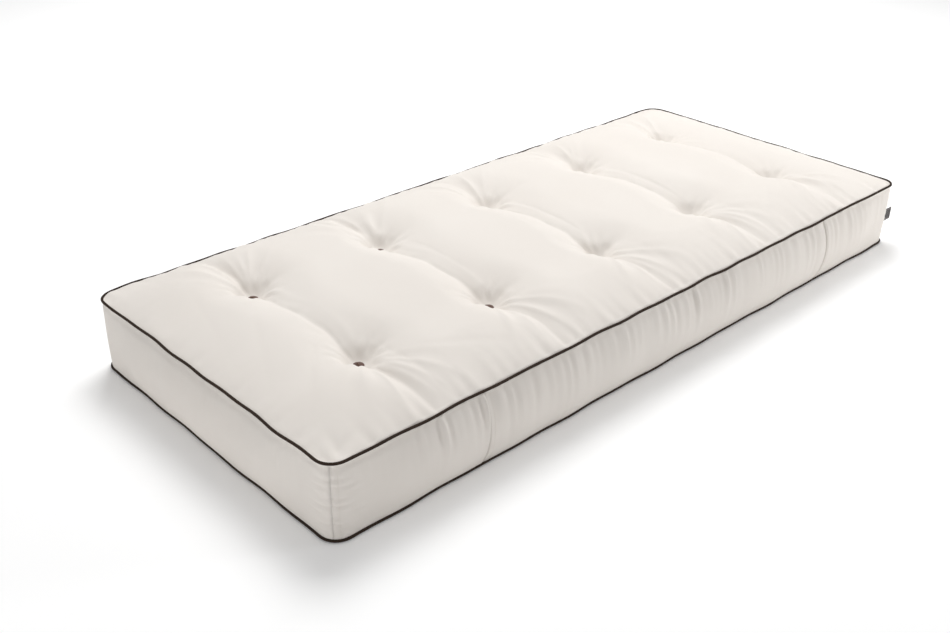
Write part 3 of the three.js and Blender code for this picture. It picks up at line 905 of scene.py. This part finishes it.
def lathe(profile, sides, centre, wobble=None):
    angle = np.linspace(0, 2 * math.pi, sides, endpoint=False)
    r, z = np.array(profile).T
    reach = r[:, None] * (1 + (np.zeros(sides) if wobble is None else wobble))[None, :]
    points = np.stack([centre[0] + reach * np.cos(angle), centre[1] + reach * np.sin(angle),
                       np.broadcast_to(z[:, None], reach.shape)], -1).reshape(-1, 3)
    faces = bands_between(len(r), sides)
    foot_hub, head_hub = len(points), len(points) + 1
    points = np.vstack([points, [*centre, z[0]], [*centre, z[-1]]])
    head = (len(r) - 1) * sides
    faces += [[foot_hub, (j + 1) % sides, j] for j in range(sides)]
    faces += [[head_hub, head + j, head + (j + 1) % sides] for j in range(sides)]
    return points.tolist(), faces


def tube(path, radius, sides=8):
    path = np.array(path, float)
    ahead_of = np.gradient(path, axis=0)
    ahead_of /= np.linalg.norm(ahead_of, axis=1)[:, None]
    sideways = np.cross(ahead_of, [0.3, 0.5, 0.81])
    sideways /= np.linalg.norm(sideways, axis=1)[:, None]
    upright = np.cross(ahead_of, sideways)
    angle = np.linspace(0, 2 * math.pi, sides, endpoint=False)
    spokes = np.cos(angle)[None, :, None] * sideways[:, None]
    spokes = spokes + np.sin(angle)[None, :, None] * upright[:, None]
    points = (path[:, None] + radius * spokes).reshape(-1, 3)
    faces = bands_between(len(path), sides)
    faces += [list(range(sides))[::-1], [(len(path) - 1) * sides + j for j in range(sides)]]
    return points.tolist(), faces


def joined(name, parts, material):
    points, faces = [], []
    for part_points, part_faces in parts:
        faces += [[v + len(points) for v in face] for face in part_faces]
        points += part_points
    mesh = bpy.data.meshes.new(name)
    mesh.from_pydata(points, [], faces)
    mesh.polygons.foreach_set("use_smooth", np.ones(len(mesh.polygons), bool))
    mesh.materials.append(material)
    mesh.update()
    return add_object(name, mesh)


def felt_profile(foot, thickness, dome):
    rise = [0, 0.0006, 0.0016, thickness * 0.7, thickness * 0.92, thickness]
    rise += [thickness + dome, thickness + dome * 1.2]
    reach = [FELT - 0.0012, FELT - 0.0004, FELT, FELT, FELT - 0.0006, FELT - 0.0020, 0.0060, 0.0020]
    return [(r, foot + z) for r, z in zip(reach, rise)]


for number, (node, place) in enumerate(sorted(tufts.items())):
    rng = np.random.default_rng(200 + number)
    around = np.linspace(0, 2 * math.pi, 40, endpoint=False)
    wobble = sum(0.022 * np.sin(k * around + rng.uniform(0, 6)) for k in (2, 3, 5, 9)) / 2
    upper = lathe(felt_profile(TUFT_Z + 0.0006, 0.0044, 0.0005), 40, (place.x, place.y), wobble)
    lower_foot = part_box(node)[0].z
    lower = lathe(felt_profile(lower_foot, 0.0042, 0.0004), 40, (place.x, place.y), wobble[::-1])
    washers = joined(node.replace("tuft", "felts"), [upper, lower], felt)
    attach(washers, "mattress")
    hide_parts(node)

    heading = rng.uniform(0, math.pi)
    c, s = math.cos(heading), math.sin(heading)
    head = TUFT_Z + 0.0058
    over = []
    for r in np.linspace(-0.0052, 0.0052, 11):
        arch = 0.0011 * math.cos(r / 0.0048 * math.pi / 2) - 0.0018 * (abs(r) > 0.0045)
        over.append((place.x + c * r, place.y + s * r, head + arch))
    through = [(place.x + 0.0004 * c, place.y, z) for z in np.linspace(lower_foot + 0.001, head, 8)]
    length = 0.010 + 0.012 * rng.random() + (0.012 if node == "tuft_front_4" else 0)
    tail = [(place.x + c * 0.003 + t * length * math.cos(heading + 1.2 + 0.8 * t),
             place.y + s * 0.003 + t * length * math.sin(heading + 1.2 + 0.8 * t),
             head + 0.0012 + 0.0022 * math.sin(math.pi * t) - 0.0008 * t) for t in np.linspace(0, 1, 9)]
    knot = lathe([(0.0012, head), (0.0022, head + 0.0007), (0.0023, head + 0.0015), (0.0012, head + 0.0023)],
                 10, (place.x + c * 0.002, place.y + s * 0.002))
    runs = [tube(over, 0.0009), tube(through, 0.00115), tube(tail, 0.0007), knot]
    tie = joined(node.replace("tuft", "twine"), runs, twine)
    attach(tie, "mattress")
print(len(tufts), "tufts, each two felts and a twine")

# %% [markdown]
# ## Stitches by Geometry Nodes
# The upright seams of the band are topstitched. One stitch is a short six-sided thread, set at even steps
# along the seam and turned to follow it.

# %% Stitches along the upright seams
tree, given, result = start_tree("stitches", {
    "Pitch": "Float", "Stitch Length": "Float", "Thread Radius": "Float", "Uneven": "Float", "Seed": "Int",
    "Material": "Material"})
given_out = given.outputs
seam = add_step(tree, "GeometryNodeMeshToCurve", Mesh=given_out["Geometry"])
marks = add_step(tree, "GeometryNodeResampleCurve", {"mode": "LENGTH"}, Curve=seam.outputs[0],
                 Length=given_out["Pitch"])
heading_of = tree.nodes.new("GeometryNodeInputTangent")
turned = add_step(tree, "FunctionNodeAlignRotationToVector", {"axis": "Z"}, Vector=heading_of.outputs[0])
stitch = add_step(tree, "GeometryNodeMeshCylinder", Vertices=6, Radius=given_out["Thread Radius"],
                  Depth=given_out["Stitch Length"])
longer = tree.nodes.new("FunctionNodeRandomValue")
longer.data_type = "FLOAT"
longer.inputs[2].default_value = 1.0
tree.links.new(given_out["Uneven"], longer.inputs[3])
tree.links.new(given_out["Seed"], longer.inputs["Seed"])
set_on = add_step(tree, "GeometryNodeInstanceOnPoints", Points=marks.outputs[0], Instance=stitch.outputs[0],
                  Rotation=turned.outputs[0], Scale=longer.outputs[1])
real = add_step(tree, "GeometryNodeRealizeInstances", Geometry=set_on.outputs[0])
dressed = add_step(tree, "GeometryNodeSetMaterial", Geometry=real.outputs[0], Material=given_out["Material"])
tree.links.new(dressed.outputs[0], result.inputs[0])

seam_points, seam_edges = [], []
for column in (near_corner, left_seam, right_seam, label_corner):
    line = band[2:-2, (column + 2) % band.shape[1]].copy()
    line[:, :2] += band_out[column] * 0.0003
    seam_edges += [(len(seam_points) + k, len(seam_points) + k + 1) for k in range(len(line) - 1)]
    seam_points += line.tolist()
seam_mesh = bpy.data.meshes.new("seam_stitches")
seam_mesh.from_pydata(seam_points, seam_edges, [])
stitches = run_tree(add_object("seam_stitches", seam_mesh), tree, Pitch=0.0045, Stitch_Length=0.0030,
                    Thread_Radius=0.00022, Uneven=1.15, Seed=5, Material=thread)
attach(stitches, "mattress")
print("stitches:", len(stitches.data.polygons) // 8)

# %% [markdown]
# ## The label
# A strip of woven satin, folded in half with both ends caught in the corner seam. It starts at the frame's
# hinge, and its root turns in at a slant, into the seam.

# %% Folded label
joint = frame["joints"][0]
hinge = Vector(joint["pos_m"])
low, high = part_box("label")
reach, tall = high.x - hinge.x, high.z - low.z
half_gap, wall = 0.00034, 0.0005
out_along = np.concatenate([[-0.0020, -0.0010], np.linspace(0, reach - 0.0012, 18)])
bow = 0.0006 * np.sin(np.clip(out_along, 0, None) / reach * math.pi)
fold = [(a, half_gap + b) for a, b in zip(out_along, bow)]
fold += [(reach - 0.0012 + 0.0007 * math.sin(a), half_gap * math.cos(a))
         for a in np.linspace(0.4, math.pi - 0.4, 5)]
fold += [(a, b - half_gap) for a, b in zip(out_along[::-1], bow[::-1])]
fold = np.array(fold)
levels = np.linspace(low.z, high.z, 19)
radial = math.sqrt(0.5)
fold_x = hinge.x + np.where(fold[:, 0] > 0, fold[:, 0], fold[:, 0] * radial)
fold_y = hinge.y + fold[:, 1] - np.where(fold[:, 0] > 0, 0, fold[:, 0] * radial)
label_points = np.stack(np.broadcast_arrays(fold_x[:, None], fold_y[:, None], levels[None, :]), -1)
run = np.concatenate([[0], np.cumsum(np.linalg.norm(np.diff(fold, axis=0), axis=1))])
label_uv = np.stack(np.broadcast_arrays(run[:, None], (levels - low.z)[None, :]), -1)
label_faces = quads_of(grid_index(label_points.shape))
label_tab = mesh_of("label_tab", label_points, label_faces, label_uv, label_cloth)
wall_modifier = label_tab.modifiers.new("thickness", "SOLIDIFY")
wall_modifier.thickness, wall_modifier.offset = wall, 0
bpy.context.view_layer.update()
made_plain(label_tab)
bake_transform(label_tab)
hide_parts("label")
print("label %.3f m high, %.3f m long, cloth %.5f m2" % (tall, reach, cloth_area(label_tab)))

# %% [markdown]
# ## Floor
# A plain pale floor, 60 m square. It glows slightly, so that it stays nearly white.

# %% Floor
floor_material, floor_shader, place = start_material("pale_floor", "Object", Specular_IOR_Level=0.2,
                                                     Emission_Color=(1, 1, 1, 1), Emission_Strength=0.08)
connect(floor_shader, Base_Color=place.noise(0.6, 2.0).between((0.96, 0.96, 0.96), (0.98, 0.98, 0.98)),
        Roughness=0.75 + 0.1 * place.noise(4.0))
floor_mesh = bpy.data.meshes.new("floor")
floor_mesh.from_pydata([(-30, -30, 0), (30, -30, 0), (30, 30, 0), (-30, 30, 0)], [], [(0, 1, 2, 3)])
floor_mesh.materials.append(floor_material)
add_object("floor", floor_mesh)

# %% The last line
bpy.context.view_layer.update()
